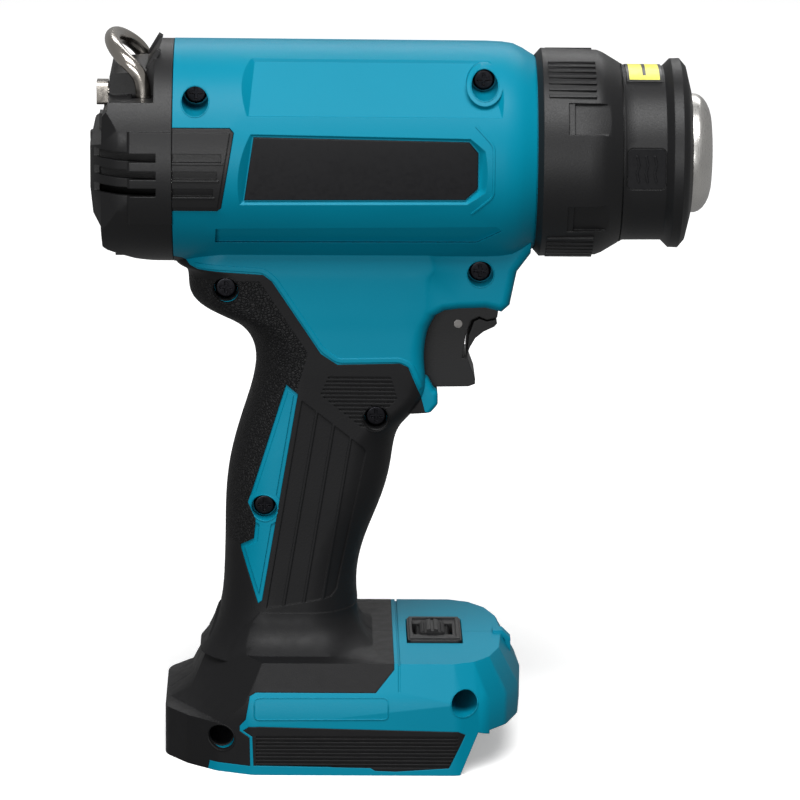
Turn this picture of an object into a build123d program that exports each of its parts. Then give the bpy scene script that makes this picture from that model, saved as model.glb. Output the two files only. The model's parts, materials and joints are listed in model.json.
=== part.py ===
"""Cordless pistol-grip heat gun, tool body only, in millimetres.

+X points to the hot-air nozzle, +Z up, the screw heads are on the -Y side.
Z = 0 is the underside of the battery foot.
"""
import os
from math import cos, radians, sin

from build123d import *

os.makedirs("parts", exist_ok=True)

# driving dimensions
AXIS_Z = 185.0
BARREL_R = 33.5
BARREL_REAR_X = -67.8
BARREL_FRONT_X = 39.8
WALL = 2.4
SKIN = 1.4
SEAM = 0.05
GRIP_HALF_W = 18.0
FOOT_HALF_W = 39.0
FOOT_TOP_Z = 33.6
BAY_TOP_Z = 13.0
NOZZLE_R = 17.9
NOZZLE_TIP_X = 93.2
REAR_X = -93.2
COVER_R = 31.3
HOOK_WIRE_R = 2.3
HOOK_HALF_W = 18.0
HOOK_PIVOT = (-76.7, 202.0)
TRIGGER_HALF_W = 9.0
TRIGGER_TRAVEL = 5.0
LEVER_PIN = (17.8, 133.7)
LEVER_PIN_R = 1.3
WHEEL_CENTRE = (11.4, 30.0)
WHEEL_R = 6.0
SCREW_HEAD_Y = 11.0
SCREWS = [
    (-61.2, 205.0),
    (24.2, 209.6),
    (24.0, 151.2),
    (-52.2, 145.6),
    (-6.8, 106.0),
    (-40.4, 77.8),
    (20.4, 22.6),
    (-53.0, 10.8),
]
# (z, rear x, front x, half width, rear corner, front corner)
GRIP_LEVELS = [
    (30.0, -60.0, -10.6, 23.0, 18.0, 18.0),
    (35.5, -56.4, -11.6, 20.4, 17.0, 17.0),
    (43.0, -53.8, -11.8, 18.8, 16.5, 15.5),
    (54.0, -52.7, -12.1, 18.2, 16.5, 14.5),
    (66.0, -52.4, -9.6, 17.8, 16.3, 14.0),
    (78.0, -52.2, -5.0, 17.6, 16.2, 14.0),
    (90.0, -50.8, -2.0, 17.4, 16.0, 13.5),
    (101.0, -48.0, 0.5, 17.3, 16.0, 12.0),
    (108.0, -45.8, 5.6, 17.3, 15.8, 8.0),
    (115.0, -43.9, 8.0, 17.4, 15.5, 5.0),
    (121.0, -43.2, 7.7, 17.5, 15.0, 4.6),
    (126.0, -43.8, 7.5, 17.5, 14.6, 4.6),
    (130.0, -45.8, 7.9, 17.5, 14.4, 4.6),
    (133.0, -49.0, 8.6, 17.5, 14.4, 4.6),
    (136.0, -55.0, 10.0, 17.6, 14.8, 4.6),
    (139.0, -60.4, 11.4, 17.7, 15.0, 4.6),
    (143.0, -63.2, 12.0, 17.8, 15.0, 4.6),
    (150.0, -64.6, 12.0, 18.0, 15.0, 4.6),
    (158.0, -65.0, 12.0, 18.0, 15.0, 4.6),
]
AXIS = Axis((0, 0, AXIS_Z), (1, 0, 0))


def flat(points):
    """A face in the XZ plane from (x, z) corners."""
    return Plane.XZ * make_face(Polyline(*points, close=True))


def slab(points, half_width):
    return extrude(flat(points), half_width, both=True)


def side_slab(points, y0, y1):
    """A prism over an XZ outline between two Y values, y0 < y1."""
    return Pos(0, y1, 0) * extrude(flat(points), y1 - y0)


def turned(profile):
    """Revolve (x, radius) points round the barrel axis."""
    return revolve(flat([(x, AXIS_Z + r) for x, r in profile]), AXIS)


def rod_x(x0, x1, r, z=AXIS_Z, y=0.0):
    return Pos((x0 + x1) / 2, y, z) * Rot(0, 90, 0) * Cylinder(r, x1 - x0)


def rod_y(x, z, y0, y1, r):
    return Pos(x, (y0 + y1) / 2, z) * Rot(90, 0, 0) * Cylinder(r, y1 - y0)


def rod_z(x, y, z0, z1, r):
    return Pos(x, y, (z0 + z1) / 2) * Cylinder(r, z1 - z0)


def block(x0, x1, y0, y1, z0, z1):
    centre = Pos((x0 + x1) / 2, (y0 + y1) / 2, (z0 + z1) / 2)
    return centre * Box(x1 - x0, y1 - y0, z1 - z0)


def both_sides(shape):
    return shape + mirror(shape, Plane.XZ)


def softened(solid, edges, radii):
    """Round the edges with the first radius the solid accepts."""
    for radius in radii:
        try:
            rounded = fillet(edges, radius)
            if rounded.is_valid:
                return rounded
        except (ValueError, RuntimeError):
            continue
    return solid


def save(node, shape):
    export_step(shape, f"parts/{node}.step")


# ---- the outer form -------------------------------------------------------


def barrel_form(inset):
    profile = [
        (BARREL_REAR_X, 0),
        (BARREL_REAR_X, BARREL_R - inset),
        (25.5, BARREL_R - 0.2 - inset),
        (30.0, BARREL_R - 0.4 - inset),
        (33.4, BARREL_R - 0.9 - inset),
        (36.2, BARREL_R - 2.2 - inset),
        (BARREL_FRONT_X, BARREL_R - 4.4 - inset),
        (BARREL_FRONT_X, 0),
    ]
    return turned(profile)


def grip_section(z, rear, front, half, rear_corner, front_corner, inset):
    """One level of the grip: softly round at the palm, tighter at the fingers."""
    centre = Plane(origin=((rear + front) / 2, 0, z))
    section = Rectangle(front - rear - 2 * inset, 2 * (half - inset))
    ends = section.vertices().sort_by(Axis.X)
    section = fillet(ends[:2], max(rear_corner - inset, 1.0))
    ends = section.vertices().sort_by(Axis.X)
    section = fillet(ends[-2:], max(front_corner - inset, 1.0))
    return centre * section


def grip_form(inset):
    return loft([grip_section(*level, inset) for level in GRIP_LEVELS])


def nose_form(inset):
    """Flat-sided bridge over the trigger, up into the barrel."""
    under = [
        (-16.0, 176.0),
        (-16.0, 150.0),
        (4.0, 140.0),
        (9.6, 137.2),
        (13.4, 139.3),
        (18.0, 139.9),
        (25.6, 140.2),
        (30.6, 139.0),
        (33.0, 141.2),
        (34.0, 146.5),
        (35.0, 151.5),
        (39.0, 157.0),
        (39.0, 176.0),
    ]
    face = flat(under)
    if inset > 0:
        face = offset(face, -inset, kind=Kind.INTERSECTION)
        return extrude(face, 17.5 - inset, both=True)
    body = extrude(face, 17.5, both=True)
    rims = body.edges().filter_by(lambda e: abs(abs(e.center().Y) - 17.5) < 0.01)
    rims = rims.filter_by(lambda e: e.center().Z < 160 and e.center().X > 8)
    return softened(body, rims, (4.0, 3.0, 2.0, 1.2))


def finger_bulb():
    """Small rounded ledge below the trigger."""
    body = slab([(-6, 118), (8.6, 118), (10.6, 114.2), (11.8, 113.4), (11.9, 109.6), (10.0, 107.2), (4.0, 106.8), (-6, 108)], 14.0)
    rims = body.edges().filter_by(lambda e: e.center().X > 8)
    return softened(body, rims, (1.6, 1.2, 0.8))


def foot_plan(inset):
    half = FOOT_HALF_W - inset
    nose = 38.6 - inset
    rear = -70.4 + inset
    points = [
        (rear, 0),
        (rear, half - 20),
        (rear + 7, half - 11),
        (rear + 16, half - 4),
        (rear + 27, half),
        (18.5, half),
        (27.0, half - 3.5),
        (33.5, half - 11),
        (nose - 1.2, half - 22),
        (nose, 0),
    ]
    lower = [(x, -y) for x, y in reversed(points[1:-1])]
    plan = make_face(Polyline(*points, *lower, close=True))
    return fillet(plan.vertices(), 8.0)


def saddle(inset):
    """Flare from the top of the foot up into the grip."""
    levels = [
        (28.0, -59.4, -3.0, 31.0, 20.0, 14.0),
        (33.6, -57.6, -7.0, 26.4, 18.0, 14.0),
        (36.5, -56.3, -9.8, 22.6, 17.0, 14.5),
        (40.0, -55.2, -11.4, 20.0, 16.8, 14.8),
        (45.0, -53.7, -11.8, 18.7, 16.5, 15.0),
    ]
    return loft([grip_section(*level, inset) for level in levels])


def corner_facet(inset):
    """Sloping cut over each rear corner of the foot, above the ledge."""
    tilt = Plane(origin=(-51.4, -38.0, 15.3), x_dir=(0.444, -0.718, 0), z_dir=(-0.718, -0.444, 0.535))
    wedge = tilt.offset(-inset) * Pos(0, 0, 40) * Box(160, 160, 80)
    wedge = wedge & block(-110, -30, -80, 0, 15.4 - inset, 80)
    return both_sides(wedge)


def foot_form(inset):
    base = -1.0 if inset > 0 else 0.0
    top = FOOT_TOP_Z - inset
    body = Pos(0, 0, base) * extrude(foot_plan(inset), top - base)
    upper = body.edges().group_by(Axis.Z)[-1]
    body = chamfer(upper, 11.0 - inset, 6.0 - 0.3 * inset) + saddle(inset)
    heel = slab([(-90, 50), (-57.4, 50), (-57.4, 31.5), (-62.6, 20.0), (-69.0, 15.4), (-90, 12.0)], 60)
    heel = Pos(0.8 * inset, 0, -0.8 * inset) * heel
    under = slab([(18.6, -2), (24.8, 13.0), (37.6, 9.0), (50, 9.0), (50, -2)], 60)
    body = body - heel - corner_facet(inset)
    if inset == 0:
        groove = block(0.4, 1.0, -60, 60, 26.0, 60) & (body - Pos(0, 0, -0.6) * body)
        body = body - under - groove
    return body


def outer_form(inset):
    form = barrel_form(inset) + nose_form(inset) + grip_form(inset) + foot_form(inset)
    if inset == 0:
        form = form + finger_bulb()
    return form


def lanyard_eye():
    """Small loop moulded on the front slope of the foot."""
    loop = block(30.0, 35.6, -2.0, 2.0, 27.0, 34.6)
    loop = chamfer(loop.edges().filter_by(Axis.Y).group_by(Axis.X)[-1].sort_by(Axis.Z)[-1:], 2.6)
    return loop - rod_y(32.4, 31.0, -10, 10, 1.5)


def cavity():
    """The hollow inside the housing halves, without the battery bay."""
    barrel = barrel_form(3.2) & block(-200, 200, -28.6, 28.6, 100, 300)
    upper = barrel + nose_form(WALL) + grip_form(WALL)
    deck = block(-80, 60, -60, 60, -5, BAY_TOP_Z + 2.6)
    lower = foot_form(WALL) - deck
    return upper + lower


def battery_bay():
    """The pack slides in along -X under the deck."""
    bay = block(-48.0, 60, -34.0, 34.0, -5, BAY_TOP_Z)
    rail = block(-48.0, 60, -34.5, -30.8, 3.2, 7.2)
    return bay - both_sides(rail)


def grip_skin_region():
    """Side outline of the soft overmould, with the hard insert left open."""
    edge = [
        (-80, 160),
        (-65.2, 155.2),
        (-63.0, 152.8),
        (-60.6, 151.8),
        (-41.0, 150.6),
        (-38.4, 148.6),
        (-23.6, 126.2),
        (-18.6, 122.9),
        (0.2, 123.4),
        (2.7, 122.2),
        (6.4, 113.4),
        (8.0, 107.4),
        (12.0, 106.4),
        (12.0, 60.0),
        (-0.8, 42.0),
        (-0.8, 32.0),
        (-6.4, 25.7),
        (-42.6, 25.7),
        (-44.4, 24.6),
        (-45.6, 17.4),
        (-47.4, 15.2),
        (-47.4, 13.6),
        (-44.4, 11.8),
        (-44.2, 2.8),
        (-56.5, 2.8),
        (-58.0, -5),
        (-80, -5),
    ]
    return slab(edge, 60)


def insert_outline():
    return flat([
        (-34.0, 116.4),
        (-30.4, 113.6),
        (-41.0, 48.6),
        (-42.2, 47.6),
        (-47.8, 65.1),
        (-43.6, 67.9),
        (-43.0, 74.0),
        (-45.4, 78.9),
    ])


def insert_region():
    """Outline of the hard spear-shaped insert on each side of the grip."""
    plate = extrude(insert_outline(), 60, both=True)
    return plate - block(-60, 0, -12.5, 12.5, 0, 140)


def insert_rim():
    """Lowered rim that leaves a raised island on the insert."""
    island = offset(insert_outline(), -1.25, kind=Kind.INTERSECTION)
    ring = extrude(insert_outline() - island, 60, both=True)
    return ring - grip_form(0.45)


def thumb_ribs():
    """Fine horizontal grooves under the thumb, on both sides."""
    zone = slab([(-21.0, 119.8), (-2.8, 120.0), (-0.6, 112.5), (-9.8, 102.4), (-23.6, 113.4)], 60)
    cuts = [block(-26, 2, -60, 60, z, z + 0.5) for z in [103.6 + 1.25 * i for i in range(13)]]
    return (Part() + cuts) & zone


def palm_steps():
    """Shallow recess down each side of the grip, crossed by raised lines."""
    edge = [(-29.2, 111.6), (-10.5, 96.9), (-9.8, 95.3), (-18.3, 51.9), (-20.1, 49.7), (-39.6, 46.4)]
    lines = [((-24.8, 107.9), (-35.2, 45.0)), ((-19.7, 103.9), (-29.2, 45.0)), ((-14.5, 99.9), (-23.5, 45.0))]
    ridges = []
    for (x0, z0), (x1, z1) in lines:
        ridges.append(slab([(x0, z0 + 2), (x0 + 0.75, z0 + 2), (x1 + 0.75, z1), (x1, z1)], 60))
    return slab(edge, 60) - (Part() + ridges)


def overmould(outer, core):
    region = grip_skin_region() - insert_region()
    bed = (outer - core) & region
    return bed, bed - (thumb_ribs() - grip_form(0.7)) - (palm_steps() - grip_form(0.5))


def bumper_skin(outer, core):
    """Ribbed soft strip low on each side of the foot."""
    edge = [
        (-46.4, 13.8),
        (-43.6, 12.2),
        (-43.2, 3.0),
        (-7.8, 2.4),
        (-6.4, 1.5),
        (0.0, 1.3),
        (16.0, 2.4),
        (20.9, 12.8),
        (18.6, 14.0),
        (-41.5, 15.4),
        (-44.6, 15.2),
    ]
    region = slab(edge, 60) - block(-80, 60, -37.0, 37.0, -5, 40)
    strip = (outer - core) & region
    ribs = [block(-42.4, 18.6, -60, 60, z, z + 0.55) for z in [2.6 + 1.15 * i for i in range(9)]]
    ribs = (Part() + ribs) - block(-80, 60, -38.4, 38.4, -5, 40)
    return strip, strip - ribs


def vent_panel_outline(grow):
    return [
        (BARREL_REAR_X - 1, 197.8 + grow),
        (-51.0 + grow, 197.8 + grow),
        (-49.8 + grow, 196.6),
        (-53.5 + grow, 174.0),
        (-54.6, 173.2 - grow),
        (BARREL_REAR_X - 1, 173.2 - grow),
    ]


def label_outline(grow):
    return [
        (-43.9 - grow, 195.4 + grow),
        (19.6 + 0.4 * grow, 194.3 + grow),
        (22.3 + grow, 191.1 + 0.4 * grow),
        (22.3 + grow, 180.4 - 0.4 * grow),
        (18.6 + 0.4 * grow, 177.0 - grow),
        (-46.6 - grow, 176.5 - grow),
    ]


def sloped_pocket(outline, grow_top, grow_floor, y_top, y_floor):
    """Pocket with sloping walls over a side outline function."""
    top = Pos(0, y_top, 0) * flat(outline(grow_top))
    floor = Pos(0, y_floor, 0) * flat(outline(grow_floor))
    return loft([top, floor], ruled=True)


def label_recess():
    return both_sides(sloped_pocket(label_outline, 4.6, 0.35, -35.0, -31.0))


def shoulder_facet():
    """Stepped pocket with sloping walls high on each side of the barrel."""
    tilt = Pos(0, 0, AXIS_Z) * Rot(-48, 0, 0)
    wide = flat([(-49.5, -13.5), (33.5, -13.5), (29.0, 14.5), (-48.5, 14.5)])
    narrow = flat([(-45.4, -10.6), (29.2, -10.6), (25.0, 9.4), (-43.8, 9.4)])
    pocket = loft([Pos(0, -34.6, 0) * wide, Pos(0, -31.2, 0) * narrow], ruled=True)
    return both_sides(tilt * pocket)


def flank_groove():
    """Long finger groove low on each side of the barrel."""
    outline = [(-55.0, 166.9), (-55.2, 162.0), (22.4, 162.4), (29.6, 166.6), (28.0, 168.0)]
    cut = side_slab(outline, -60, 0) - turned([(-80, 0), (-80, 32.0), (60, 32.0), (60, 0)])
    return both_sides(cut)


def trigger_window():
    return block(0, 40, -TRIGGER_HALF_W - 0.5, TRIGGER_HALF_W + 0.5, 113.2, 139.7)


def wheel_window():
    return block(3.4, 20.6, -12.2, 12.2, 29.5, 60)


def hook_notches():
    x, z = HOOK_PIVOT
    notch = block(x - 3.5, x + 2.45, -HOOK_HALF_W - 2.6, -14.4, z - 2.5, z + 30)
    return both_sides(notch)


def right_bosses(outer):
    posts = [rod_y(x, z, -60, -SEAM, 5.4) for x, z in SCREWS]
    return (Part() + posts) & outer


def left_bosses(outer):
    posts = [rod_y(x, z, SEAM, 14.0, 4.6) for x, z in SCREWS]
    return (Part() + posts) & outer


def screw_holes_right():
    heads = [rod_y(x, z, -60, -SCREW_HEAD_Y, 3.9) for x, z in SCREWS]
    shanks = [rod_y(x, z, -20, 1, 1.8) for x, z in SCREWS]
    return Part() + heads + shanks


def screw_holes_left():
    shanks = [rod_y(x, z, -1, 11.5, 1.55) for x, z in SCREWS]
    return Part() + shanks


def motor_cradle():
    """Rib that carries the fan duct inside the housing."""
    ring = turned([(-12.0, 28.3), (-12.0, 30.9), (-9.0, 30.9), (-9.0, 28.3)])
    front = turned([(34.0, 25.0), (34.0, 30.6), (36.5, 30.0), (36.5, 25.0)])
    return ring + front


def front_spigot():
    return turned([(36.0, 25.4), (36.0, 28.6), (47.0, 28.6), (47.0, 26.2), (39.0, 25.4)])


def housing_blank(outer):
    shell = outer - cavity() - battery_bay() - trigger_window() - wheel_window()
    shell = shell - label_recess() - shoulder_facet() - flank_groove() - insert_rim()
    panel = side_slab(vent_panel_outline(0.15), -60, 0) - turned([(-80, 0), (-80, 32.0), (60, 32.0), (60, 0)])
    shell = shell - both_sides(panel)
    return shell + motor_cradle() + front_spigot() + lanyard_eye()


def largest(shape):
    """Drop the stray slivers that trimming leaves."""
    return max(shape.solids(), key=lambda solid: solid.volume)


def half_of(shape, side):
    if side < 0:
        return shape & block(-200, 200, -100, -SEAM, -50, 300)
    return shape & block(-200, 200, SEAM, 100, -50, 300)


def housing():
    outer = outer_form(0.0)
    core = outer_form(SKIN)
    soft_bed, soft = overmould(outer, core)
    bumper_bed, bumper = bumper_skin(outer, core)
    blank = housing_blank(outer) - soft_bed - bumper_bed
    room = outer - soft_bed - bumper_bed - battery_bay() - label_recess()
    right = (half_of(blank, -1) + right_bosses(room)) - screw_holes_right()
    left = (half_of(blank, 1) + left_bosses(room)) - screw_holes_left()
    soft = soft - trigger_window()
    save("housing_right", largest(right))
    save("housing_left", largest(left))
    save("grip_overmould_right", largest(half_of(soft, -1) - screw_holes_right()))
    save("grip_overmould_left", largest(half_of(soft, 1)))
    save("foot_bumper_right", largest(half_of(bumper, -1)))
    save("foot_bumper_left", largest(half_of(bumper, 1)))


# ---- trim on the housing --------------------------------------------------


def vent_panel(side):
    """Raised louvred panel that carries the rear slots forward."""
    base = turned([(BARREL_REAR_X, 32.0), (BARREL_REAR_X, 33.7), (-45, 33.7), (-45, 32.0)])
    cap = turned([(BARREL_REAR_X, 33.6), (BARREL_REAR_X, 34.4), (-45, 34.4), (-45, 33.6)])
    panel = (side_slab(vent_panel_outline(0.0), -60, 0) & base) + (side_slab(vent_panel_outline(-1.1), -60, 0) & cap)
    keep = turned([(-80, 0), (-80, 33.0), (60, 33.0), (60, 0)])
    for z, x in ((189.4, -53.4), (184.2, -54.6), (179.0, -55.8)):
        panel = panel - (block(-70, x, -60, 0, z - 1.25, z + 1.25) - keep)
        lip = turned([(BARREL_REAR_X, 33.0), (BARREL_REAR_X, 34.7), (x + 0.6, 34.7), (x + 0.6, 33.0)])
        panel = panel + (lip & block(-70, x + 0.6, -60, 0, z - 1.85, z - 1.25))
    return panel if side < 0 else mirror(panel, Plane.XZ)


def label_plate(side):
    plate = side_slab(label_outline(0.0), -31.8, -31.0)
    plate = softened(plate, plate.edges().group_by(Axis.Y)[0], (0.25,))
    return plate if side < 0 else mirror(plate, Plane.XZ)


# ---- rear cover, filter and hook ------------------------------------------


def rear_profile(inset):
    points = [
        (BARREL_REAR_X - 0.2, 218.6),
        (-71.6, 218.6),
        (-76.0, 211.4),
        (-85.9, 210.7),
        (-86.8, 209.8),
        (-87.1, 202.4),
        (-88.6, 200.4),
        (-88.8, 192.2),
        (REAR_X, 190.4),
        (REAR_X + 0.5, 181.5),
        (REAR_X + 1.8, 170.8),
        (-89.1, 167.4),
        (-88.8, 160.0),
        (-87.4, 158.6),
        (-79.0, 154.4),
        (-73.6, 152.8),
        (BARREL_REAR_X - 0.2, 152.2),
    ]
    face = flat(points)
    if inset > 0:
        face = offset(face, -inset, kind=Kind.INTERSECTION)
    return face


def rear_form(inset):
    side = extrude(rear_profile(inset), 60, both=True)
    drum = rod_x(-110, BARREL_REAR_X + 20, BARREL_R - 0.1 - inset)
    half = BARREL_R - inset
    plan_points = [
        (-50, half),
        (-76.0, half - 0.2),
        (-84.0, half - 2.2),
        (-89.0, half - 6.0),
        (REAR_X + 0.9 + inset, half - 11.5),
        (REAR_X + inset, 0),
    ]
    lower = [(x, -y) for x, y in reversed(plan_points[:-1])]
    plan = extrude(make_face(Polyline(*plan_points, *lower, close=True)), 400)
    return side & drum & plan


def hook_ledge():
    """Floor, boss sides and front wall round the two hook legs."""
    tub = block(-95, -71.4, 12.2, 40, 202.2, 230) & rear_form(0.0)
    return both_sides(mirror(tub, Plane.XZ))


def slope_ribs():
    """Two short ribs running down the sloping face."""
    ribs = [Pos(-73.9, y, 214.9) * Rot(0, 31, 0) * Box(1.4, 0.9, 6.6) for y in (-11.0, -13.4)]
    return both_sides(Part() + ribs)


def rear_cover():
    shell = rear_form(0.0) - (rear_form(2.0) + rod_x(-70.5, -60, BARREL_R - 2.1))
    band = rod_x(-81.0, BARREL_REAR_X - 0.15, 34.4) - rod_x(-90, -60, 33.0)
    band = chamfer(band.edges().group_by(Axis.X)[0].sort_by(SortBy.LENGTH)[-1], 0.7)
    shell = shell + (band & block(-90, -60, -60, 60, 168.6, 196.8) - block(-90, -60, -26, 26, 100, 300))
    shell = shell & block(-200, BARREL_REAR_X - 0.15, -60, 60, 100, 300)
    for z in (189.4, 184.2, 179.0):
        slot = block(-100, -72.6, -60, 60, z - 1.3, z + 1.3)
        posts = block(-100, -60, -2.0, 2.0, 100, 300) + both_sides(block(-100, -60, -24.0, -22.0, 100, 300))
        shell = shell - (slot - posts)
    posts = block(-92.2, -72.0, -1.0, 1.0, 170.0, 192.0) & rear_form(0.6)
    shell = shell + posts + slope_ribs() + block(-90.3, -87.6, -3.0, 3.0, 191.0, 196.4)
    x, z = HOOK_PIVOT
    seat = block(x - 4.4, x + 4.6, -24.5, -9.6, z - 4.0, z + 2.0) & rear_form(0.0)
    shell = shell + hook_ledge() + both_sides(seat)
    gap = block(-95, -73.5, -60, -14.2, z + 2.6, 260)
    scoop = block(-86.0, -81.6, -17.4, -15.0, z + 1.9, z + 3)
    shell = shell - both_sides(gap) - both_sides(scoop) - hook_notches()
    shell = shell - both_sides(rod_y(x, z, -15.0, -10.6, HOOK_WIRE_R + 0.06))
    shell = shell - rod_x(-95, -80, 1.66, 204.8, -11.5) - rod_x(-95, -87.0, 4.9, 204.8, -11.5)
    return largest(shell - block(-85.8, -82.4, -5.2, 5.2, 150, 157.2))


def intake_filter():
    frame_ring = turned([(-70.4, 20.0), (-70.4, 31.0), (-69.0, 31.0), (-69.0, 20.0)])
    disc = turned([(-70.0, 0), (-70.0, 20.2), (-69.4, 20.2), (-69.4, 0)])
    holes = []
    for i in range(-5, 6):
        for j in range(-5, 6):
            if i * i + j * j < 26:
                holes.append(rod_x(-72, -68, 1.2, AXIS_Z + 3.4 * j, 3.4 * i))
    return frame_ring + (disc - (Part() + holes))


def hook_path():
    x, z = HOOK_PIVOT
    w = HOOK_HALF_W
    near = [
        (x, -11.0, z),
        (x, -w, z),
        (x, -w, z + 9.6),
        (x - 6.4, -w + 3.2, z + 14.4),
        (x - 9.6, -w + 11.6, z + 17.2),
    ]
    far = [(px, -py, pz) for px, py, pz in reversed(near)]
    return FilletPolyline(*near, *far, radius=3.4)


def hook():
    path = hook_path()
    start = Plane(origin=path @ 0, z_dir=path % 0)
    return sweep(start * Circle(HOOK_WIRE_R), path)


def airflow_knob():
    """Small square push selector on the rear boss."""
    knob = block(-90.6, -87.2, -15.0, -8.0, 201.4, 208.2)
    knob = fillet(knob.edges().filter_by(Axis.X), 1.0)
    return knob + rod_x(-87.4, -84.0, 1.6, 204.8, -11.5)


def cover_latch():
    stub = block(-85.6, -82.6, -5.0, 5.0, 153.4, 157.0)
    return stub


# ---- nozzle, its cover and the heater -------------------------------------


def nozzle_cover_shell():
    outer = [
        (40.1, 29.4),
        (41.8, COVER_R),
        (58.6, COVER_R - 0.5),
        (60.4, COVER_R - 1.2),
        (65.6, 27.0),
        (66.8, 26.3),
        (78.4, 26.2),
        (80.6, 28.4),
        (83.4, 28.5),
        (85.2, 26.4),
        (86.8, 20.0),
        (86.8, NOZZLE_R + 0.5),
    ]
    inner = [(84.6, NOZZLE_R + 0.5), (83.6, 24.2), (66.0, 24.2), (58.6, 28.4), (57.0, 28.9), (40.1, 28.9)]
    return turned(outer + inner)


def around(shape, angle):
    """Turn a shape about the barrel axis; positive lifts the -Y side."""
    return Pos(0, 0, AXIS_Z) * Rot(-angle, 0, 0) * Pos(0, 0, -AXIS_Z) * shape


def nozzle_cover():
    body = nozzle_cover_shell()
    rib = block(43.4, 57.4, -COVER_R - 0.35, -COVER_R + 1.2, AXIS_Z - 0.45, AXIS_Z + 0.45)
    angles = [43.5 + 4.5 * i for i in range(7)] + [-43.5 - 4.5 * i for i in range(7)]
    ribs = [around(rib, a) for a in angles] + [around(mirror(rib, Plane.XZ), -a) for a in angles]
    body = body + (Part() + ribs)
    deep = block(51.0, 63.4, -60, -COVER_R + 1.9, AXIS_Z - 4.9, AXIS_Z + 4.9)
    step = block(49.2, 51.0, -60, -COVER_R + 1.0, AXIS_Z - 4.9, AXIS_Z + 4.9)
    pockets = [around(deep + step, 30.5), around(deep + step, -29)]
    body = body - both_sides(Part() + pockets)
    seat = block(66.6, 78.4, -60, -25.2, 179.1, 191.7)
    seat = fillet(seat.edges().filter_by(Axis.Y), 1.8)
    seam = turned([(65.4, 26.1), (65.4, 29.0), (65.8, 29.0), (65.8, 26.1)])
    return body - both_sides(seat) - seam


def badge(side):
    """Blank square badge with three generic heat ripples."""
    plate = block(66.9, 78.1, -25.55, -25.2, 179.4, 191.4)
    plate = fillet(plate.edges().filter_by(Axis.Y), 1.5)
    for x in (69.9, 72.5, 75.1):
        for i in range(3):
            lean = 14 if i % 2 else -14
            bar = Pos(x, -25.6, 182.8 + 2.6 * i) * Rot(0, lean, 0) * Box(0.6, 0.6, 2.9)
            plate = plate + bar
    return plate if side < 0 else mirror(plate, Plane.XZ)


def caution_label():
    ring = turned([(67.0, 26.35), (67.0, 26.6), (77.6, 26.6), (77.6, 26.35)])
    return ring & block(60, 90, -11.4, 11.4, AXIS_Z, 240)


def nozzle():
    """Steel outlet with a domed, rolled-in lip and a thinner tube behind."""
    profile = [
        (66.0, NOZZLE_R - 1.3),
        (66.0, 22.6),
        (67.0, 22.6),
        (67.0, NOZZLE_R - 0.5),
        (86.9, NOZZLE_R - 0.5),
        (86.9, NOZZLE_R),
        (88.5, NOZZLE_R),
        (89.7, NOZZLE_R - 0.45),
        (90.8, NOZZLE_R - 1.3),
        (91.8, NOZZLE_R - 2.6),
        (92.6, NOZZLE_R - 4.3),
        (93.05, NOZZLE_R - 6.0),
        (NOZZLE_TIP_X, NOZZLE_R - 7.4),
        (92.9, NOZZLE_R - 8.1),
        (92.1, NOZZLE_R - 8.3),
        (91.9, NOZZLE_R - 7.4),
        (91.8, NOZZLE_R - 6.2),
        (91.3, NOZZLE_R - 4.6),
        (90.4, NOZZLE_R - 3.1),
        (89.2, NOZZLE_R - 1.9),
        (88.0, NOZZLE_R - 1.3),
    ]
    return turned(profile)


def heat_shield():
    tube = turned([(24.0, 18.4), (24.0, 18.9), (65.6, 18.9), (65.6, 18.4)])
    lip = turned([(64.8, 16.4), (64.8, 18.9), (65.6, 18.9), (65.6, 16.4)])
    return tube + lip


def mica_sleeve():
    return turned([(22.0, 15.4), (22.0, 16.0), (84.0, 16.0), (84.0, 15.4)])


def heater_core():
    plates = [around(block(24.0, 80.0, -11.2, 11.2, AXIS_Z - 0.6, AXIS_Z + 0.6), a) for a in (0, 60, 120)]
    discs = [rod_x(x, x + 1.6, 15.2) for x in (23.0, 79.0)]
    core = Part() + plates + discs
    for i in range(10):
        hole = rod_x(20, 90, 2.4, AXIS_Z + 12.2 * sin(radians(36 * i)), 12.2 * cos(radians(36 * i)))
        core = core - hole
    for a in range(0, 360, 60):
        core = core - rod_x(20, 90, 2.6, AXIS_Z + 6.4 * sin(radians(a + 30)), 6.4 * cos(radians(a + 30)))
    return core


def heater_coil():
    turns = [Pos(29.0 + 4.6 * i, 0, AXIS_Z) * Rot(0, 90, 0) * Torus(12.2, 0.8) for i in range(11)]
    links = [rod_x(29.0, 75.0, 0.5, AXIS_Z + 12.2 * sin(radians(a)), 12.2 * cos(radians(a))) for a in (36, 180)]
    return Part() + turns + links


def insulating_ring():
    return turned([(60.8, 19.0), (60.8, 23.8), (64.4, 23.8), (64.4, 19.0)])


# ---- fan and motor --------------------------------------------------------


def fan_duct():
    outer = [(-26.0, 26.6), (-26.0, 28.2), (2.0, 28.2), (17.6, 18.9), (23.6, 18.9)]
    inner = [(23.6, 17.8), (17.2, 17.8), (1.6, 26.6)]
    duct = turned(outer + inner)
    spoke = block(-26.0, -22.0, -27.0, 27.0, AXIS_Z - 1.2, AXIS_Z + 1.2)
    hub = turned([(-26.0, 16.2), (-26.0, 18.0), (-22.0, 18.0), (-22.0, 16.2)])
    spokes = (spoke + around(spoke, 60) + around(spoke, 120)) - rod_x(-30, -10, 16.5)
    return duct + hub + spokes


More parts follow.
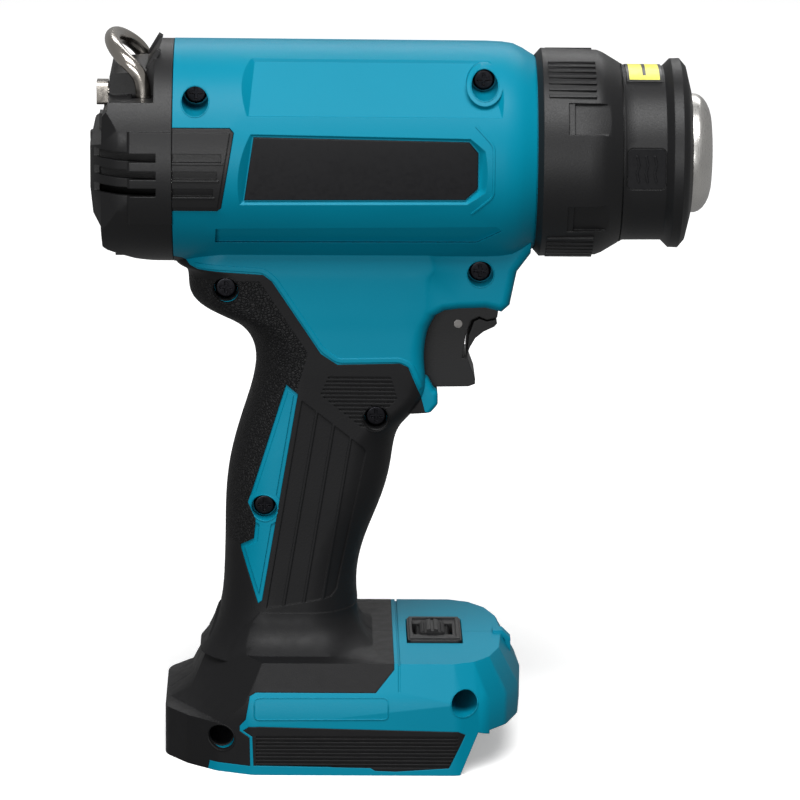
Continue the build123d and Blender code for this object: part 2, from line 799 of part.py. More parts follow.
def fan_impeller():
    hub = rod_x(-16.0, -6.0, 7.0) - rod_x(-20, 0, 1.5)
    cone = turned([(-6.5, 1.5), (-6.5, 7.0), (-2.0, 2.4), (-2.0, 1.5)])
    blades = []
    for i in range(11):
        blade = Pos(-11.0, 0, AXIS_Z + 15.6) * Rot(0, 0, 34) * Box(11.0, 1.1, 19.6)
        blades.append(around(blade, i * 360 / 11))
    return hub + cone + (Part() + blades)


def motor_can():
    can = turned([(-54.0, 4.0), (-54.0, 15.0), (-53.0, 16.0), (-19.6, 16.0), (-18.6, 15.0), (-18.6, 4.0)])
    bore = rod_x(-52.8, -19.8, 14.8)
    return can - bore


def motor_rotor():
    core = rod_x(-46.0, -26.0, 13.4) - rod_x(-60, 0, 1.5)
    slots = [
        around(block(-50, -20, -0.9, 0.9, AXIS_Z + 6.0, AXIS_Z + 14.0), a)
        for a in range(0, 360, 36)
    ]
    return core - (Part() + slots)


def motor_shaft():
    return rod_x(-56.4, -3.0, 1.5)


def bearing(x):
    return turned([(x, 1.56), (x, 3.9), (x + 1.4, 3.9), (x + 1.4, 1.56)])


def motor_terminals():
    tabs = [block(-58.5, -54.1, y - 1.4, y + 1.4, AXIS_Z + z, AXIS_Z + z + 0.5) for y, z in ((0, 9), (0, -9))]
    return Part() + tabs


# ---- electronics, switch and trigger --------------------------------------


def main_board():
    board = block(-36.0, -4.0, -14.0, 14.0, 146.0, 147.6)
    return board


def board_parts():
    sink = block(-34.0, -20.0, -10.0, 10.0, 143.0, 146.0) - block(-30.0, -24.0, -8.5, 8.5, 142.0, 144.6)
    caps = [rod_z(x, y, 140.0, 146.0, 3.0) for x, y in ((-14.0, -8.0), (-14.0, 8.0))]
    chip = block(-11.0, -6.0, -4.0, 4.0, 144.4, 146.0)
    return Part() + [sink, chip] + caps


def switch_body():
    body = block(-32.0, -7.0, -9.0, 9.0, 114.0, 137.0)
    body = body - rod_x(-22.0, 0.0, 2.9, 126.0)
    return chamfer(body.edges().filter_by(Axis.Y), 1.2)


def switch_terminals():
    tabs = [block(-34.6 - 1.4, -32.05, y - 2.4, y + 2.4, 118.0, 118.8) for y in (-5.0, 5.0)]
    return Part() + tabs


def switch_plunger():
    return rod_x(-14.0, 1.0, 2.7, 126.0)


LEVER_OUTLINE = [
    (20.6, 123.6),
    (21.4, 126.2),
    (23.0, 129.1),
    (25.5, 131.2),
    (28.8, 132.8),
    (29.6, 133.8),
    (29.4, 135.0),
    (26.5, 134.4),
    (24.3, 135.2),
    (22.6, 134.3),
    (21.2, 130.2),
]


def trigger():
    rear = [(1.0, 136.8), (1.0, 115.0), (10.0, 114.0)]
    face = [(21.2, 114.2), (23.2, 115.0), (23.2, 116.6), (22.0, 119.8), (20.9, 122.8), (19.1, 123.0)]
    inner = [(20.2, 130.4), (21.6, 134.8), (24.2, 136.0), (26.5, 135.0), (29.6, 135.7)]
    top = [(29.9, 138.2), (27.6, 139.2), (14.0, 139.2), (10.6, 138.2), (9.0, 136.8)]
    body = slab(rear + face + inner + top, TRIGGER_HALF_W)
    slot = block(13.5, 40, -3.1, 3.1, 128.0, 137.4)
    x, z = LEVER_PIN
    return body - slot - rod_y(x, z, -20, 20, LEVER_PIN_R)


def trigger_lever():
    face = slab(LEVER_OUTLINE, TRIGGER_HALF_W - 0.4)
    x, z = LEVER_PIN
    arm = block(x, 23.6, -2.8, 2.8, 131.2, 134.4) + rod_y(x, z, -2.8, 2.8, 2.8)
    return face + arm - rod_y(x, z, -20, 20, LEVER_PIN_R + 0.06)


def lever_pin():
    x, z = LEVER_PIN
    return rod_y(x, z, -TRIGGER_HALF_W, TRIGGER_HALF_W, LEVER_PIN_R)


# ---- battery foot ---------------------------------------------------------


def temperature_bezel():
    plate = block(3.7, 20.3, -11.9, 11.9, 31.3, 34.3)
    plate = fillet(plate.edges().filter_by(Axis.Z), 1.6)
    plate = plate + block(4.3, 19.7, -10.8, 10.8, 34.2, 34.9) - block(5.4, 18.6, -9.6, 9.6, 34.3, 35.2)
    return plate - block(5.2, 17.6, -5.6, 5.6, 28, 40)


def temperature_wheel():
    x, z = WHEEL_CENTRE
    wheel = rod_y(x, z, -5.2, 5.2, WHEEL_R)
    cuts = []
    for i in range(16):
        spot = Pos(x, 0, z) * Rot(0, 22.5 * i, 0) * Pos(0, 0, WHEEL_R)
        cuts.append(spot * Box(1.0, 12.0, 1.2))
    return wheel - (Part() + cuts) - rod_y(x, z, -10, 10, 1.05)


def wheel_shaft():
    x, z = WHEEL_CENTRE
    return rod_y(x, z, -9.0, 9.0, 1.0)


def control_board():
    x, z = WHEEL_CENTRE
    board = block(-1.0, 25.0, -14.0, 14.0, 15.8, 17.2)
    cheek = block(x - 2.6, x + 2.6, -9.0, -7.0, 17.2, 31.2)
    cheeks = both_sides(cheek) - rod_y(x, z, -20, 20, 1.0)
    return board, cheeks


def terminal_block():
    body = block(-44.0, -16.0, -15.0, 15.0, 7.6, 12.9)
    slots = [block(-34.0, -10.0, y - 1.6, y + 1.6, 5.0, 11.4) for y in (-10.0, -3.4, 3.4, 10.0)]
    return body - (Part() + slots)


def terminal_blades():
    blades = [block(-33.8, -18.0, y - 0.45, y + 0.45, 8.0, 11.3) for y in (-10.0, -3.4, 3.4, 10.0)]
    return Part() + blades


def battery_leads(y):
    path = Spline((-30.0, y, 17.0), (-32.0, y, 45.0), (-30.0, y, 80.0), (-36.5, y, 108.0), (-38.0, y, 114.0))
    start = Plane(origin=path @ 0, z_dir=path % 0)
    return sweep(start * Circle(1.2), path)


def screw(x, z):
    head = rod_y(x, z, -SCREW_HEAD_Y - 2.4, -SCREW_HEAD_Y, 3.3)
    head = fillet(head.edges().group_by(Axis.Y)[0], 0.8)
    slot_a = block(x - 1.9, x + 1.9, -SCREW_HEAD_Y - 3, -SCREW_HEAD_Y - 1.1, z - 0.45, z + 0.45)
    slot_b = block(x - 0.45, x + 0.45, -SCREW_HEAD_Y - 3, -SCREW_HEAD_Y - 1.1, z - 1.9, z + 1.9)
    return head - slot_a - slot_b + rod_y(x, z, -SCREW_HEAD_Y, 10.5, 1.5)


def screws(picked):
    return Part() + [screw(x, z) for x, z in picked]


# ---- build ----------------------------------------------------------------

housing()
save("vent_panel_right", vent_panel(-1))
save("vent_panel_left", vent_panel(1))
save("label_plate_right", label_plate(-1))
save("label_plate_left", label_plate(1))
save("rear_cover", rear_cover())
save("intake_filter", intake_filter())
save("hook", hook())
save("airflow_knob", airflow_knob())
save("cover_latch", cover_latch())
save("nozzle_cover", nozzle_cover())
save("badge_right", badge(-1))
save("badge_left", badge(1))
save("caution_label", caution_label())
save("nozzle", nozzle())
save("heat_shield", heat_shield())
save("mica_sleeve", mica_sleeve())
save("heater_core", heater_core())
save("heater_coil", heater_coil())
save("insulating_ring", insulating_ring())
save("fan_duct", fan_duct())
save("fan_impeller", fan_impeller())
save("motor_can", motor_can())
save("motor_rotor", motor_rotor())
save("motor_shaft", motor_shaft())
save("bearing_rear", bearing(-54.0))
save("bearing_front", bearing(-20.0))
save("motor_terminals", motor_terminals())
save("main_board", main_board())
save("board_parts", board_parts())
save("switch_body", switch_body())
save("switch_terminals", switch_terminals())
save("switch_plunger", switch_plunger())
save("trigger", trigger())
save("trigger_lever", trigger_lever())
save("lever_pin", lever_pin())
save("temperature_bezel", temperature_bezel())
save("temperature_wheel", temperature_wheel())
save("wheel_shaft", wheel_shaft())
save("control_board", control_board()[0])
save("wheel_cheeks", control_board()[1])
save("terminal_block", terminal_block())
save("terminal_blades", terminal_blades())
save("battery_lead_positive", battery_leads(-5.0))
save("battery_lead_negative", battery_leads(5.0))
save("barrel_screws", screws(SCREWS[:3]))
save("grip_screws", screws(SCREWS[3:6]))
save("foot_screws", screws(SCREWS[6:]))
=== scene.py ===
import json
import math

import bmesh
import bpy
from mathutils import Matrix, Vector
from mathutils.bvhtree import BVHTree


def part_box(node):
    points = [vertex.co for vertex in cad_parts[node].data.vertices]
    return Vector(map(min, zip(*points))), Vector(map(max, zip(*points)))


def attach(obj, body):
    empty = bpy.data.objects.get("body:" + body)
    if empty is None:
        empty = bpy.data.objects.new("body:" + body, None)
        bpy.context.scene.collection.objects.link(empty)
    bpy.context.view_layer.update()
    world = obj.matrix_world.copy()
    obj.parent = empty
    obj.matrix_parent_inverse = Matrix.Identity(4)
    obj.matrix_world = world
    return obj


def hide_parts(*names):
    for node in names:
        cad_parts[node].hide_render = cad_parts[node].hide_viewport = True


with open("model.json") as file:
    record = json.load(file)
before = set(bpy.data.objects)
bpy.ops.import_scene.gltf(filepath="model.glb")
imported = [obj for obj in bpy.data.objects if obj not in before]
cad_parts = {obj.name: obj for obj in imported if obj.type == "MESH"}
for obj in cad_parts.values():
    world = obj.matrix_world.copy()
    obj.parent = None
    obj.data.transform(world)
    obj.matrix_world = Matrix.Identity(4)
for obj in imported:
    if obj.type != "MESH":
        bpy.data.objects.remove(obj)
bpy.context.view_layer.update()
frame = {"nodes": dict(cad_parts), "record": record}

MM = 0.001
NODES = frame["nodes"]
SMOOTH_ANGLE = math.radians(32.0)

# Side outlines and hole centres as (x, z) in millimetres.
GRIP_EDGE = [
    (-61.4, 153.1), (-40.9, 151.9), (-37.6, 149.4), (-23.1, 127.4),
    (-18.5, 124.1), (0.4, 124.5), (3.6, 122.8), (6.6, 115.6),
]
RECESS_RIM = [(21.6, 198.9), (26.9, 193.4), (26.9, 178.2), (20.6, 172.6)]
FOOT_STRIP = [(-43.0, 24.2), (-2.6, 24.4), (-2.6, 17.9), (-43.0, 17.6)]
HARD_HOLES = ((-61.2, 205.0), (24.2, 209.6), (24.0, 151.2), (-40.4, 77.8), (20.4, 22.6))
SOFT_HOLES = ((-52.2, 145.6), (-6.8, 106.0), (-53.0, 10.8))
HOLE_R = 3.9
SCREW_SEAT_Y = -11.0
HOOK_WIRE_R = 2.3
HOOK_PIN_END = 11.0
FAR_SIDE = 0.08

# Half-widths and heights of a raised line's cross-section.
BEAD_PROFILE = [(-1.0, -0.8), (-0.92, 0.4), (-0.66, 1.0), (0.66, 1.0), (0.92, 0.4), (1.0, -0.8)]


# ---- node helpers ---------------------------------------------------------


class Graph:
    """Small wrapper that keeps node wiring short."""

    def __init__(self, name):
        self.material = bpy.data.materials.new(name)
        self.material.use_nodes = True
        self.tree = self.material.node_tree
        self.shader = self.tree.nodes["Principled BSDF"]
        coords = self.tree.nodes.new("ShaderNodeTexCoord")
        self.place = coords.outputs["Object"]

    def node(self, kind, inputs=None, **settings):
        made = self.tree.nodes.new(kind)
        for key, value in settings.items():
            setattr(made, key, value)
        for key, value in (inputs or {}).items():
            self.feed(made.inputs[key], value)
        return made

    def feed(self, socket, value):
        if isinstance(value, bpy.types.NodeSocket):
            self.tree.links.new(value, socket)
        else:
            socket.default_value = value

    def noise(self, scale, detail=2.0, rough=0.5, place=None):
        inputs = {"Vector": place or self.place, "Scale": scale, "Detail": detail, "Roughness": rough}
        return self.node("ShaderNodeTexNoise", inputs).outputs["Fac"]

    def cells(self, scale, feature, place):
        made = self.node("ShaderNodeTexVoronoi", {"Vector": place, "Scale": scale}, feature=feature)
        return made.outputs["Distance"]

    def stretched(self, sx, sy, sz):
        made = self.node("ShaderNodeMapping", {"Vector": self.place, "Scale": (sx, sy, sz)})
        return made.outputs["Vector"]

    def math(self, operation, a, b=0.0):
        made = self.node("ShaderNodeMath", operation=operation)
        self.feed(made.inputs[0], a)
        self.feed(made.inputs[1], b)
        return made.outputs[0]

    def spread(self, value, low, high, out_low, out_high):
        made = self.node(
            "ShaderNodeMapRange",
            {"Value": value, "From Min": low, "From Max": high, "To Min": out_low, "To Max": out_high},
        )
        return made.outputs["Result"]

    def blend(self, factor, first, second):
        made = self.node("ShaderNodeMix", data_type="RGBA")
        self.feed(made.inputs["Factor"], factor)
        self.feed(made.inputs["A"], first)
        self.feed(made.inputs["B"], second)
        return made.outputs["Result"]

    def set(self, **values):
        names = {
            "color": "Base Color",
            "rough": "Roughness",
            "metal": "Metallic",
            "coat": "Coat Weight",
            "spec": "Specular IOR Level",
        }
        for key, value in values.items():
            self.feed(self.shader.inputs[names[key]], value)

    def relief(self, height, depth_mm, strength=1.0, edge_mm=0.35):
        """Bump over softly rounded edges."""
        edge = self.node("ShaderNodeBevel", {"Radius": edge_mm * MM}, samples=4)
        inputs = {
            "Strength": strength,
            "Distance": depth_mm * MM,
            "Height": height,
            "Normal": edge.outputs["Normal"],
        }
        bump = self.node("ShaderNodeBump", inputs)
        self.feed(self.shader.inputs["Normal"], bump.outputs["Normal"])


def rgb(red, green, blue):
    """sRGB 0-255 to linear, with alpha."""
    linear = []
    for channel in (red, green, blue):
        c = channel / 255
        linear.append(c / 12.92 if c <= 0.04045 else ((c + 0.055) / 1.055) ** 2.4)
    return (*linear, 1.0)


# ---- materials ------------------------------------------------------------


def moulded(name, light, dark, rough, grain_mm, depth_mm, edge_mm=0.4, coat=0.0, spec=0.13):
    """Injection-moulded plastic with fine spark-eroded grain."""
    g = Graph(name)
    broad = g.noise(18.0, 3.0)
    fine = g.noise(1000.0 / grain_mm, 2.0, 0.6)
    g.set(color=g.blend(g.spread(broad, 0.3, 0.7, 0.0, 1.0), light, dark))
    g.set(rough=g.spread(fine, 0.25, 0.75, rough - 0.05, rough + 0.09), coat=coat, spec=spec)
    g.relief(fine, depth_mm, 0.55, edge_mm)
    return g.material


def leather_rubber(name, light, dark, cell_mm):
    """Soft overmould: leather grain behind the insert, satin elsewhere."""
    g = Graph(name)
    warp = g.noise(300.0, 2.0)
    offset = g.node("ShaderNodeVectorMath", {0: g.place}, operation="ADD")
    push = g.node("ShaderNodeVectorMath", operation="SCALE")
    colour = g.node("ShaderNodeTexNoise", {"Vector": g.place, "Scale": 520.0, "Detail": 1.0})
    g.feed(push.inputs[0], colour.outputs["Color"])
    g.feed(push.inputs["Scale"], 0.0012)
    g.feed(offset.inputs[1], push.outputs[0])
    cells = g.cells(1000.0 / cell_mm, "DISTANCE_TO_EDGE", offset.outputs[0])
    pebble = g.spread(cells, 0.0, 0.2, 0.0, 1.0)
    zone = grain_zone(g)
    fine = g.noise(2400.0, 2.0)
    leather = g.math("ADD", pebble, g.math("MULTIPLY", fine, 0.35))
    plain = g.math("ADD", 0.8, g.math("MULTIPLY", fine, 0.22))
    leather_part = g.math("MULTIPLY", leather, zone)
    plain_part = g.math("MULTIPLY", plain, g.math("SUBTRACT", 1.0, zone))
    height = g.math("ADD", leather_part, plain_part)
    # Painted shade: the colour darkens along the creases between the pebbles, where shade would fall in
    # the grain's hollows. It stays plain outside the grain zone.
    crease_shade = g.math("MAXIMUM", pebble, g.math("SUBTRACT", 1.0, zone))
    g.set(color=g.blend(crease_shade, dark, light))
    g.set(rough=g.spread(warp, 0.3, 0.7, 0.44, 0.54), spec=0.15)
    g.relief(height, 0.2, 0.85, 0.5)
    return g.material


def grain_zone(g):
    """1 inside the leather area behind the insert, 0 elsewhere: two sloping lines and two heights."""
    part = g.node("ShaderNodeSeparateXYZ", {"Vector": g.place})
    x, z = part.outputs["X"], part.outputs["Z"]
    mid_line = g.math("ADD", -62.6 * MM, g.math("MULTIPLY", z, 0.278))
    top_line = g.math("ADD", 55.6 * MM, g.math("MULTIPLY", z, -0.657))
    inside = g.math("MULTIPLY", g.math("LESS_THAN", x, mid_line), g.math("LESS_THAN", x, top_line))
    tall = g.math("MULTIPLY", g.math("GREATER_THAN", z, 65.5 * MM), g.math("LESS_THAN", z, 148.6 * MM))
    return g.math("MULTIPLY", inside, tall)


def bright_metal(name, colour, rough, streak):
    """Plated or drawn metal with faint streaks along the given stretch."""
    g = Graph(name)
    lines = g.noise(900.0, 3.0, 0.6, g.stretched(*streak))
    haze = g.noise(60.0, 3.0)
    dull = tuple(c * 0.82 for c in colour[:3]) + (1.0,)
    g.set(color=g.blend(g.spread(haze, 0.35, 0.65, 0.0, 1.0), colour, dull), metal=1.0)
    g.set(rough=g.spread(lines, 0.3, 0.7, rough * 0.8, rough * 1.35))
    g.relief(lines, 0.012, 0.5, 0.2)
    return g.material


def caution_film():
    """Yellow film with a plain black frame and one bar, no lettering."""
    g = Graph("caution_film")
    low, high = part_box("caution_label")
    part = g.node("ShaderNodeSeparateXYZ", {"Vector": g.place})
    x, y = part.outputs["X"], part.outputs["Y"]
    centre_x = (low.x + high.x) / 2
    half_x, half_y = (high.x - low.x) / 2, (high.y - low.y) / 2
    off_x = g.math("ABSOLUTE", g.math("SUBTRACT", x, centre_x))
    off_y = g.math("ABSOLUTE", y)
    frame_x = g.math("GREATER_THAN", off_x, half_x - 0.8 * MM)
    frame_y = g.math("GREATER_THAN", off_y, half_y - 0.8 * MM)
    bar_x = g.math("LESS_THAN", off_x, 0.5 * MM)
    bar_y = g.math("LESS_THAN", off_y, half_y - 3 * MM)
    bar = g.math("MULTIPLY", bar_x, bar_y)
    ink = g.math("MAXIMUM", g.math("MAXIMUM", frame_x, frame_y), bar)
    g.set(color=g.blend(ink, rgb(238, 232, 92), rgb(26, 26, 26)))
    g.set(rough=g.spread(g.noise(400.0), 0.3, 0.7, 0.32, 0.42))
    g.relief(g.noise(2200.0), 0.01, 0.4, 0.1)
    return g.material


def speckled(name, light, dark, rough, scale, metal=0.0):
    """Mica, ceramic, board or core with two-tone mottling."""
    g = Graph(name)
    spots = g.noise(scale, 4.0, 0.6)
    g.set(color=g.blend(g.spread(spots, 0.4, 0.6, 0.0, 1.0), light, dark), rough=rough, metal=metal)
    g.relief(spots, 0.05, 0.5, 0.15)
    return g.material


TEAL = moulded("teal_moulded", rgb(0, 128, 154), rgb(0, 123, 149), 0.42, 0.42, 0.05)
BLACK = moulded("black_moulded", rgb(23, 23, 24), rgb(19, 19, 20), 0.44, 0.45, 0.06, spec=0.3)
GLOSS = moulded("label_gloss", rgb(20, 20, 22), rgb(16, 16, 18), 0.34, 1.2, 0.01, 0.2, 0.0, 0.16)
RUBBER = leather_rubber("leather_rubber", rgb(22, 22, 23), rgb(11, 11, 12), 1.0)
NICKEL = bright_metal("nickel_plate", rgb(196, 190, 182), 0.19, (1, 1, 1))
STEEL = bright_metal("satin_steel", rgb(226, 224, 220), 0.3, (6, 0.5, 0.5))
SPRING = bright_metal("spring_steel", rgb(128, 126, 124), 0.36, (1, 1, 1))
SCREW = bright_metal("black_oxide", rgb(34, 34, 37), 0.3, (1, 1, 1))
COPPER = bright_metal("bare_copper", rgb(205, 140, 90), 0.3, (1, 1, 1))
WIRE = bright_metal("heating_wire", rgb(150, 132, 118), 0.4, (1, 1, 1))
FILM = caution_film()
MICA = speckled("mica_sheet", rgb(178, 160, 122), rgb(146, 126, 90), 0.3, 160.0)
CERAMIC = speckled("ceramic_core", rgb(226, 220, 206), rgb(206, 198, 180), 0.55, 220.0)
CORE = speckled("laminated_core", rgb(120, 116, 112), rgb(92, 88, 86), 0.45, 500.0, 0.8)
BOARD = speckled("circuit_board", rgb(28, 98, 52), rgb(22, 80, 44), 0.35, 700.0)
LEAD = moulded("lead_jacket", rgb(168, 40, 34), rgb(150, 34, 30), 0.4, 0.5, 0.02)

SLOT_MATERIALS = {
    "teal_plastic": TEAL,
    "soft_black": RUBBER,
    "black_plastic": BLACK,
    "label_black": GLOSS,
    "teal_trigger": BLACK,
    "label_yellow": FILM,
    "stainless": STEEL,
    "nickel": NICKEL,
    "spring_steel": SPRING,
    "screw_black": SCREW,
    "mica": MICA,
    "ceramic": CERAMIC,
    "heating_wire": WIRE,
    "rotor_core": CORE,
    "copper": COPPER,
    "circuit_board": BOARD,
    "board_black": BLACK,
    "lead_jacket": LEAD,
}


def dress_cad():
    """Weld, smooth-shade and paint every CAD node."""
    slots = {entry["node"]: entry["material_slot"] for entry in frame["record"]["subparts"]}
    slots.update(badge_right="label_black", badge_left="label_black", lever_pin="spring_steel")
    for name, obj in NODES.items():
        obj.data.materials.clear()
        obj.data.materials.append(SLOT_MATERIALS[slots[name]])
        weld = obj.modifiers.new("weld", "WELD")
        weld.merge_threshold = 0.002 * MM
        if "custom_normal" in obj.data.attributes:
            obj.data.attributes.remove(obj.data.attributes["custom_normal"])
        obj.data.shade_smooth()
        smooth_by_angle(obj)


def smooth_group():
    """Geometry nodes that mark edges sharp past an angle."""
    group = bpy.data.node_groups.new("smooth_by_angle", "GeometryNodeTree")
    group.interface.new_socket("Geometry", in_out="INPUT", socket_type="NodeSocketGeometry")
    angle = group.interface.new_socket("Angle", in_out="INPUT", socket_type="NodeSocketFloat")
    angle.default_value = SMOOTH_ANGLE
    group.interface.new_socket("Geometry", in_out="OUTPUT", socket_type="NodeSocketGeometry")
    source = group.nodes.new("NodeGroupInput")
    sink = group.nodes.new("NodeGroupOutput")
    edge = group.nodes.new("GeometryNodeInputMeshEdgeAngle")
    over = group.nodes.new("FunctionNodeCompare")
    over.operation = "GREATER_THAN"
    mark = group.nodes.new("GeometryNodeSetShadeSmooth")
    mark.domain = "EDGE"
    link = group.links.new
    link(edge.outputs["Unsigned Angle"], over.inputs[0])
    link(source.outputs["Angle"], over.inputs[1])
    flip = group.nodes.new("FunctionNodeBooleanMath")
    flip.operation = "NOT"
    link(over.outputs[0], flip.inputs[0])
    link(source.outputs["Geometry"], mark.inputs["Geometry"])
    link(flip.outputs[0], mark.inputs["Shade Smooth"])
    link(mark.outputs["Geometry"], sink.inputs["Geometry"])
    return group


SMOOTH = smooth_group()


def smooth_by_angle(obj):
    modifier = obj.modifiers.new("smooth_by_angle", "NODES")
    modifier.node_group = SMOOTH


# ---- raised lines on the mouldings -----------------------------------------


class Skin:
    """Finds the outside of some CAD nodes from one side."""

    def __init__(self, *names):
        maker = bmesh.new()
        for name in names:
            maker.from_mesh(NODES[name].data)
        self.tree = BVHTree.FromBMesh(maker)
        maker.free()

    def hit(self, x, z, side):
        start, inward = Vector((x, side * FAR_SIDE, z)), Vector((0, -side, 0))
        spot, normal, _, _ = self.tree.ray_cast(start, inward)
        return spot, normal


def closed_shell(name, rings, ring_closed, slot, body):
    """Piece from a run of equal vertex rings, capped or joined end to end."""
    maker = bmesh.new()
    loops = [[maker.verts.new(spot) for spot in ring] for ring in rings]
    size = len(loops[0])
    last = len(loops) if ring_closed else len(loops) - 1
    for i in range(last):
        a, b = loops[i], loops[(i + 1) % len(loops)]
        for k in range(size):
            maker.faces.new((a[k], a[(k + 1) % size], b[(k + 1) % size], b[k]))
    if not ring_closed:
        maker.faces.new(loops[0])
        maker.faces.new(list(reversed(loops[-1])))
    bmesh.ops.recalc_face_normals(maker, faces=maker.faces)
    mesh = bpy.data.meshes.new(name)
    maker.to_mesh(mesh)
    maker.free()
    mesh.shade_smooth()
    mesh.materials.append(SLOT_MATERIALS[slot])
    obj = bpy.data.objects.new(name, mesh)
    bpy.context.scene.collection.objects.link(obj)
    smooth_by_angle(obj)
    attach(obj, body)
    return obj


def dense(points, step, closed):
    """Evenly spaced (x, z) samples along a polyline given in millimetres."""
    ring = points + [points[0]] if closed else points
    out = []
    for (x0, z0), (x1, z1) in zip(ring, ring[1:]):
        count = max(1, round(math.hypot(x1 - x0, z1 - z0) / step))
        out += [(x0 + (x1 - x0) * i / count, z0 + (z1 - z0) * i / count) for i in range(count)]
    return out if closed else out + [ring[-1]]


def rounded(points, radius, closed):
    """Cut the corners of a polyline with short arcs."""
    size = len(points)
    out = []
    for i, (x, z) in enumerate(points):
        if not closed and i in (0, size - 1):
            out.append((x, z))
            continue
        here = Vector((x, z))
        back, ahead = Vector(points[i - 1]) - here, Vector(points[(i + 1) % size]) - here
        reach = min(radius, back.length * 0.45, ahead.length * 0.45)
        a, b = here + back.normalized() * reach, here + ahead.normalized() * reach
        for k in range(5):
            t = k / 4
            spot = a * (1 - t) ** 2 + here * (2 * t * (1 - t)) + b * t ** 2
            out.append((spot.x, spot.y))
    return out


def bead(name, skin, points, side, width, lift, slot, closed=False, corner=1.6):
    """Low raised line that follows the moulded surface."""
    path = dense(rounded(points, corner, closed), 0.7, closed)
    spots = [skin.hit(x * MM, z * MM, side) for x, z in path]
    spots = [(spot, normal) for spot, normal in spots if spot is not None]
    size = len(spots)
    rings = []
    for i, (spot, normal) in enumerate(spots):
        ahead = spots[(i + 1) % size][0] if closed or i < size - 1 else spot
        back = spots[i - 1][0] if closed or i > 0 else spot
        across = (ahead - back).cross(normal).normalized() * width * MM / 2
        up = normal * lift * MM
        rings.append([spot + across * u + up * v for u, v in BEAD_PROFILE])
    closed_shell(name, rings, closed, slot, "tool")


def circle(x, z, radius, count=24):
    turns = [math.tau * i / count for i in range(count)]
    return [(x + radius * math.cos(turn), z + radius * math.sin(turn)) for turn in turns]


def body_lines():
    """Raised teal lines on both sides of the housing."""
    for side, tag in ((-1, "right"), (1, "left")):
        shell = Skin(f"housing_{tag}")
        bead(f"grip_edge_{tag}", shell, GRIP_EDGE, side, 1.7, 0.28, "teal_plastic")
        bead(f"recess_rim_{tag}", shell, RECESS_RIM, side, 0.9, 0.2, "teal_plastic")
        bead(f"foot_strip_{tag}", shell, FOOT_STRIP, side, 0.5, 0.16, "teal_plastic", closed=True)


def hole_rims():
    """Thin raised rims round the screw holes of the right half."""
    shell = Skin("housing_right")
    soft = Skin("grip_overmould_right")
    for index, (x, z) in enumerate(HARD_HOLES):
        ring = circle(x, z, HOLE_R + 0.25)
        bead(f"hole_rim_{index}", shell, ring, -1, 0.42, 0.12, "teal_plastic", closed=True, corner=0.2)
    for index, (x, z) in enumerate(SOFT_HOLES):
        ring = circle(x, z, HOLE_R + 0.3)
        bead(f"soft_rim_{index}", soft, ring, -1, 0.5, 0.14, "soft_black", closed=True, corner=0.2)


def hole_sleeves():
    """Dark lining of the screw holes that pass through the soft skin."""
    soft = Skin("grip_overmould_right")
    outer, inner, beside = HOLE_R - 0.01, HOLE_R - 0.4, HOLE_R + 0.9
    bottom = (SCREW_SEAT_Y - 0.05) * MM
    for index, (x, z) in enumerate(SOFT_HOLES):
        spots = [soft.hit(u * MM, v * MM, -1)[0] for u, v in circle(x, z, beside, 4)]
        mouth = max(spot.y for spot in spots if spot is not None) + 0.4 * MM
        profile = ((outer, mouth), (outer, bottom), (inner, bottom), (inner, mouth + 0.5 * MM))
        rounds = [(circle(x, z, radius, 40), y) for radius, y in profile]
        rings = [[Vector((ring[i][0] * MM, y, ring[i][1] * MM)) for ring, y in rounds] for i in range(40)]
        closed_shell(f"hole_sleeve_{index}", rings, True, "soft_black", "tool")


def b_spline(points, steps):
    """Uniform cubic curve that starts and ends on its end points."""
    knots = [points[0]] * 2 + points + [points[-1]] * 2
    out = []
    for a, b, c, d in zip(knots, knots[1:], knots[2:], knots[3:]):
        for k in range(steps):
            t = k / steps
            near, far = (1 - t) ** 3, t ** 3
            mid_a = 3 * t ** 3 - 6 * t ** 2 + 4
            mid_b = -3 * t ** 3 + 3 * t ** 2 + 3 * t + 1
            out.append((a * near + b * mid_a + c * mid_b + d * far) / 6)
    return out + [points[-1]]


def round_tube(path, radius, sides):
    """Vertex rings round a path, without twist."""
    turns = [math.tau * k / sides for k in range(sides)]
    up = Vector((0, 0, 1))
    rings = []
    for i, spot in enumerate(path):
        ahead = (path[min(i + 1, len(path) - 1)] - path[max(i - 1, 0)]).normalized()
        up = (up - ahead * up.dot(ahead)).normalized()
        side = ahead.cross(up)
        rings.append([spot + (up * math.cos(turn) + side * math.sin(turn)) * radius for turn in turns])
    return rings


def hook_bow():
    """The wire hook as one round bow, on the pivots of the CAD hook."""
    low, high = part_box("hook")
    radius = HOOK_WIRE_R * MM
    x, z = high.x - radius, low.z + radius
    half = high.y - radius
    rise, reach = high.z - radius - z, x - (low.x + radius)
    leg = [
        (x, -HOOK_PIN_END * MM, z),
        (x, -half, z),
        (x, -half, z),
        (x + 0.2 * MM, -half, z + 0.52 * rise),
        (x - 0.60 * reach, -half, z + 0.80 * rise),
        (x - 1.03 * reach, -0.46 * half, z + rise),
    ]
    mirrored = [(a, -b, c) for a, b, c in reversed(leg)]
    line = b_spline([Vector(spot) for spot in leg + mirrored], 10)
    path = [line[0]]
    for spot in line[1:]:
        if (spot - path[-1]).length > 0.15 * MM:
            path.append(spot)
    piece = closed_shell("hook_bow", round_tube(path, radius, 28), False, "nickel", "hook")
    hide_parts("hook")


# ---- stage, light and camera ----------------------------------------------


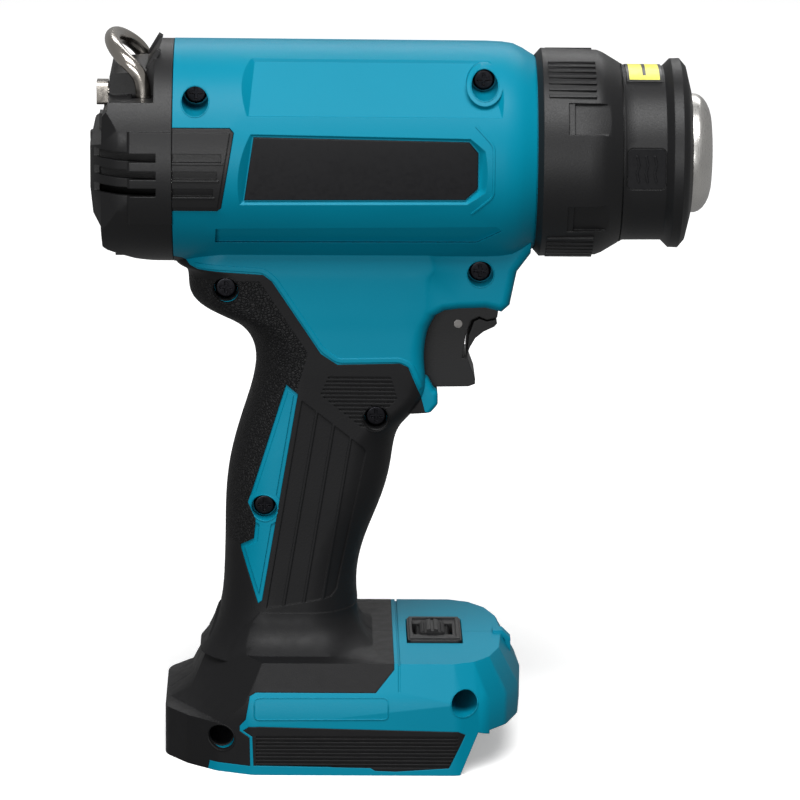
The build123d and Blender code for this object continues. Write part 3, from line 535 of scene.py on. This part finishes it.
def floor():
    """Pale floor with a faint glow, which neither lights the object nor shows in its gloss."""
    mesh = bpy.data.meshes.new("floor")
    maker = bmesh.new()
    bmesh.ops.create_grid(maker, x_segments=1, y_segments=1, size=6.0)
    maker.to_mesh(mesh)
    maker.free()
    ground = bpy.data.objects.new("floor", mesh)
    bpy.context.scene.collection.objects.link(ground)
    g = Graph("pale_floor")
    g.set(color=g.blend(g.noise(3.0), (0.90, 0.90, 0.90, 1), (0.92, 0.92, 0.92, 1)), rough=0.7)
    g.feed(g.shader.inputs["Emission Color"], (1, 1, 1, 1))
    g.feed(g.shader.inputs["Emission Strength"], 0.35)
    mesh.materials.append(g.material)
    ground.visible_diffuse = False
    ground.visible_glossy = False


def area_light(name, place, target, size, power):
    lamp = bpy.data.lights.new(name, "AREA")
    lamp.shape = "RECTANGLE"
    lamp.size, lamp.size_y = size
    lamp.energy = power
    obj = bpy.data.objects.new(name, lamp)
    bpy.context.scene.collection.objects.link(obj)
    obj.location = place
    obj.rotation_euler = (Vector(target) - Vector(place)).to_track_quat("-Z", "Y").to_euler()


def world_light(fill, shine):
    """White studio surround: a weak fill, and a brighter room for reflections to see."""
    world = bpy.data.worlds.new("studio")
    bpy.context.scene.world = world
    world.use_nodes = True
    tree = world.node_tree
    ray = tree.nodes.new("ShaderNodeLightPath")
    pick = tree.nodes.new("ShaderNodeMapRange")
    tree.links.new(ray.outputs["Is Glossy Ray"], pick.inputs["Value"])
    pick.inputs["To Min"].default_value = fill
    pick.inputs["To Max"].default_value = shine
    back = tree.nodes["Background"]
    back.inputs["Color"].default_value = (1, 1, 1, 1)
    tree.links.new(pick.outputs["Result"], back.inputs["Strength"])


def camera():
    """Nearly square to the right side, from a little above."""
    azimuth, elevation, roll = math.radians(-1.2), math.radians(14.94), math.radians(0.65)
    distance, lens_px = 1.479, 4850
    target = Vector((0.0007, 0.0, 0.1074))
    level = math.cos(elevation)
    back = Vector((math.sin(azimuth) * level, -math.cos(azimuth) * level, math.sin(elevation)))
    right = Vector((math.cos(azimuth), math.sin(azimuth), 0))
    up = back.cross(right)
    turn = Matrix((right, up, back)).transposed() @ Matrix.Rotation(roll, 3, "Z")
    data = bpy.data.cameras.new("camera")
    data.lens = 36.0 * lens_px / 800
    data.clip_end = 50
    eye = bpy.data.objects.new("camera", data)
    bpy.context.scene.collection.objects.link(eye)
    eye.matrix_world = Matrix.Translation(target + back * distance) @ turn.to_4x4()
    bpy.context.scene.camera = eye


camera()
dress_cad()
body_lines()
hole_rims()
hole_sleeves()
hook_bow()
floor()
world_light(0.02, 0.28)
area_light("overhead", (0, -0.9, 1.9), (0, 0, 0.12), (1.6, 1.2), 55)
area_light("front", (-0.5, -2.0, 0.38), (0, 0, 0.14), (1.4, 0.5), 24)
area_light("rim", (0.2, 1.3, 1.2), (0, 0, 0.15), (1.2, 0.4), 8)
bpy.context.scene.view_settings.view_transform = "Standard"
